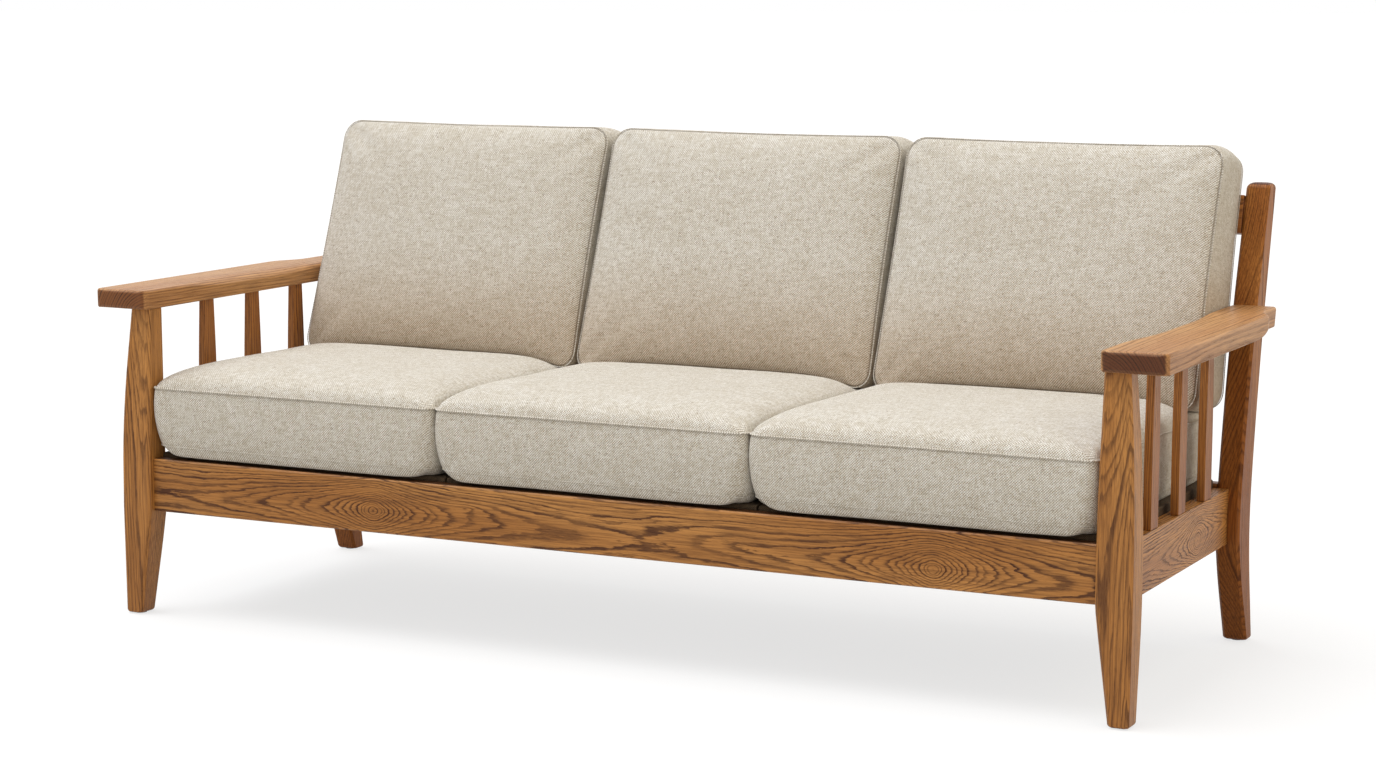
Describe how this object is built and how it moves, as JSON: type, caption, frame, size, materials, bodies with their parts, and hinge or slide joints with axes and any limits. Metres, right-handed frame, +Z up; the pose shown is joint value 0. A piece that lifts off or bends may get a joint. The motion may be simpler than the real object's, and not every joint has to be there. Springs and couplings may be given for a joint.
{
  "type": "wooden sofa",
  "caption": "Long wooden sofa with sculpted flat arms, shaped legs, slatted sides and back, and loose woven seat and back cushions",
  "frame": {"origin": "on the floor, under the middle of the sofa", "axes": "+X to the right seen from the front (the sitter's left), front faces -Y, +Z up"},
  "size_m": [1.9, 0.764, 0.8234],
  "materials": {
    "oak": "oiled, satin, open grain",
    "inner_wood": "planed, unfinished",
    "board_cloth": "coarse woven cover",
    "steel": "zinc plated",
    "nylon": "moulded",
    "upholstery": "coarse heathered weave"
  },
  "bodies": {
    "frame": {"front_leg_left": "oak", "front_leg_right": "oak", "rear_leg_left": "oak", "rear_leg_right": "oak", "front_rail": "oak", "rear_rail": "oak", "side_rail_left": "oak", "side_rail_right": "oak", "top_back_rail": "oak", "arm_left": "oak", "arm_right": "oak", "arm_slat_left_1": "oak", "arm_slat_left_2": "oak", "arm_slat_left_3": "oak", "arm_slat_right_1": "oak", "arm_slat_right_2": "oak", "arm_slat_right_3": "oak", "back_slat_1": "oak", "back_slat_2": "oak", "back_slat_3": "oak", "back_slat_4": "oak", "back_slat_5": "oak", "back_slat_6": "oak", "back_slat_7": "oak", "back_slat_8": "oak", "back_slat_9": "oak", "back_slat_10": "oak", "back_slat_11": "oak", "cross_bearer_left": "inner_wood", "cross_bearer_right": "inner_wood", "front_batten": "inner_wood", "rear_batten": "inner_wood", "seat_board_left": "board_cloth", "seat_board_middle": "board_cloth", "seat_board_right": "board_cloth", "corner_block_front_left": "inner_wood", "corner_block_front_right": "inner_wood", "corner_block_rear_left": "inner_wood", "corner_block_rear_right": "inner_wood", "batten_screws": "steel", "block_screws": "steel", "foot_glides": "nylon"},
    "seat_cushion_left": {"seat_cushion_left": "upholstery"},
    "seat_cushion_middle": {"seat_cushion_middle": "upholstery"},
    "seat_cushion_right": {"seat_cushion_right": "upholstery"},
    "back_cushion_left": {"back_cushion_left": "upholstery"},
    "back_cushion_middle": {"back_cushion_middle": "upholstery"},
    "back_cushion_right": {"back_cushion_right": "upholstery"}
  },
  "joints": [
    {"name": "seat_cushion_left_slide", "type": "slide", "parent": "frame", "child": "seat_cushion_left", "axis": [0, -1, 0], "range_m": [0, 0.6]},
    {"name": "seat_cushion_middle_slide", "type": "slide", "parent": "frame", "child": "seat_cushion_middle", "axis": [0, -1, 0], "range_m": [0, 0.6]},
    {"name": "seat_cushion_right_slide", "type": "slide", "parent": "frame", "child": "seat_cushion_right", "axis": [0, -1, 0], "range_m": [0, 0.6]},
    {"name": "back_cushion_left_slide", "type": "slide", "parent": "frame", "child": "back_cushion_left", "axis": [0, 0.2403, 0.9707], "range_m": [0, 0.5]},
    {"name": "back_cushion_middle_slide", "type": "slide", "parent": "frame", "child": "back_cushion_middle", "axis": [0, 0.2403, 0.9707], "range_m": [0, 0.5]},
    {"name": "back_cushion_right_slide", "type": "slide", "parent": "frame", "child": "back_cushion_right", "axis": [0, 0.2403, 0.9707], "range_m": [0, 0.5]}
  ]
}
